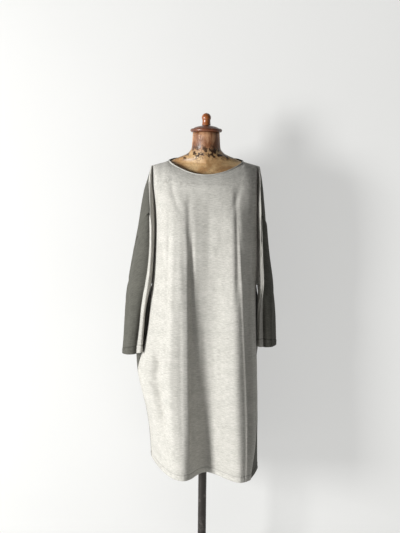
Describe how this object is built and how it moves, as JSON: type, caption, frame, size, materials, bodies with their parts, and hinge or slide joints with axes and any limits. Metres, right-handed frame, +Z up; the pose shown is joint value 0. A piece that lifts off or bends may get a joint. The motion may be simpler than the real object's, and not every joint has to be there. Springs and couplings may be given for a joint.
{
  "type": "two-tone jersey dress on a limbless dress form",
  "caption": "Loose knee-length dress in light grey and charcoal jersey with dropped shoulders and long sleeves, hanging on a limbless dress form with a wooden neck cap on a pole.",
  "frame": {"origin": "centre of the foot's underside, on the floor below the pole", "axes": "+Z up along the pole; the front of the dress faces -Y; +X is the viewer's right when facing the front"},
  "size_m": [0.5492, 0.3357, 1.6538],
  "materials": {
    "light_jersey": "soft brushed melange jersey, light grey",
    "charcoal_jersey": "soft brushed melange jersey, charcoal",
    "form_skin": "pressed paper, tan, varnished and worn",
    "turned_wood": "turned, red-brown, satin varnish",
    "dark_steel": "dark, satin",
    "cast_foot": "dark paint over cast iron"
  },
  "bodies": {
    "root": {"dress_front": "light_jersey", "sleeve_left_front": "light_jersey", "sleeve_right_front": "light_jersey", "neckband_front": "light_jersey", "dress_back": "charcoal_jersey", "sleeve_left_back": "charcoal_jersey", "sleeve_right_back": "charcoal_jersey", "neckband_back": "charcoal_jersey", "form_torso": "form_skin", "neck_cap": "turned_wood", "cap_knob": "turned_wood", "pole": "dark_steel", "pole_collar": "dark_steel", "foot": "cast_foot"}
  },
  "joints": []
}
